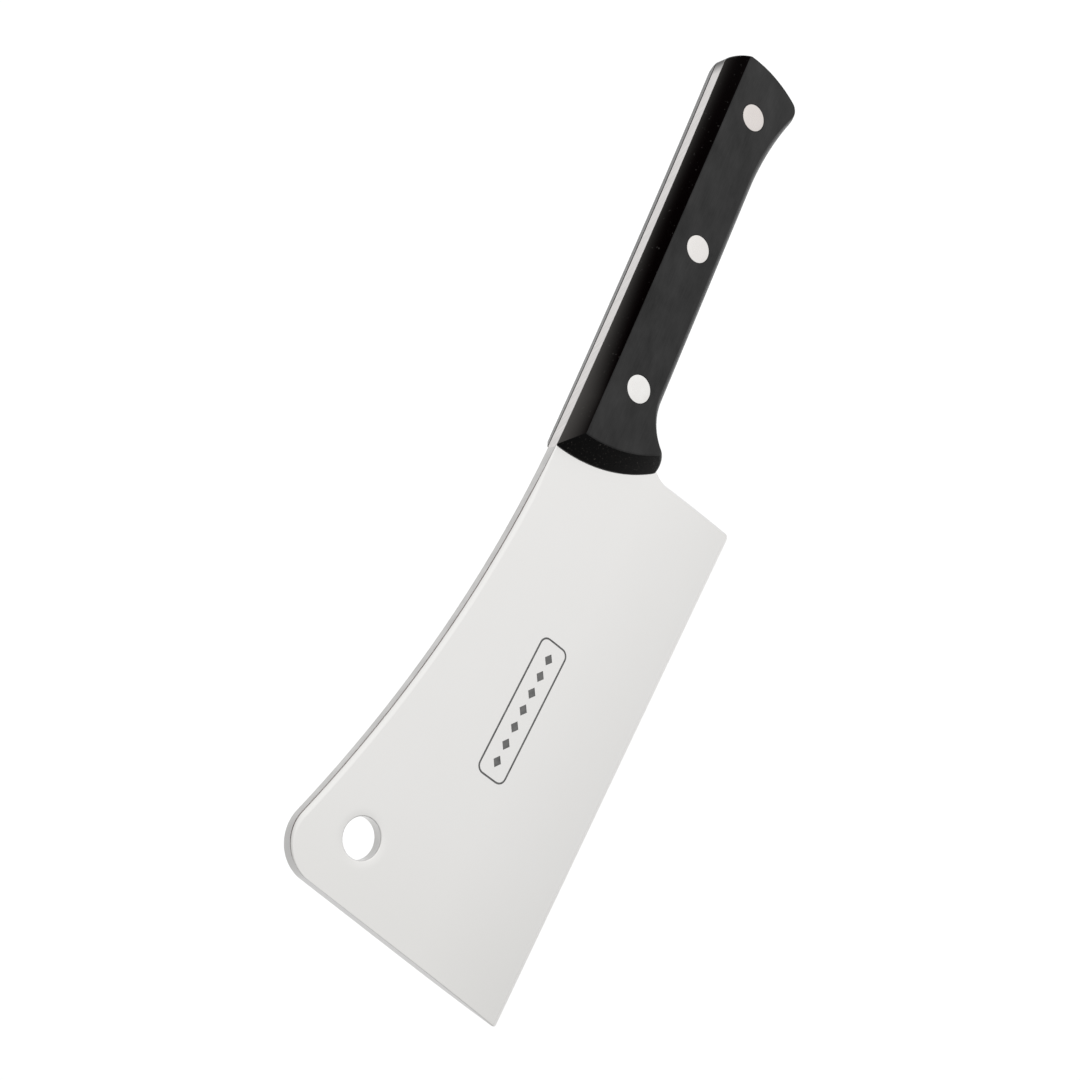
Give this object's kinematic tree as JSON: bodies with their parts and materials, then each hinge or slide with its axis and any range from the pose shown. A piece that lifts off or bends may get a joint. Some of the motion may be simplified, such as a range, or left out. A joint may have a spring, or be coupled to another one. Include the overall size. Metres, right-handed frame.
{
  "type": "meat cleaver",
  "caption": "Heavy butcher's cleaver: broad steel blade with a hanging hole near its front, full tang, and dark bevelled handle scales riveted on both sides.",
  "frame": {"origin": "centre of the hanging hole, half way through the blade's thickness", "axes": "+X from the handle's butt to the front of the blade, along the handle; +Y from the spine to the cutting edge; +Z square to the blade, out of the marked side"},
  "size_m": [0.2927, 0.0926, 0.019],
  "materials": {
    "blade_steel": "fine satin, ground",
    "handle_plastic": "moulded acetal, satin flats",
    "rivet_steel": "ground flush, satin"
  },
  "bodies": {
    "root": {"blade": "blade_steel", "scale_marked_side": "handle_plastic", "scale_plain_side": "handle_plastic", "rivet_rear_post": "rivet_steel", "rivet_rear_socket": "rivet_steel", "rivet_middle_post": "rivet_steel", "rivet_middle_socket": "rivet_steel", "rivet_front_post": "rivet_steel", "rivet_front_socket": "rivet_steel"}
  },
  "joints": []
}
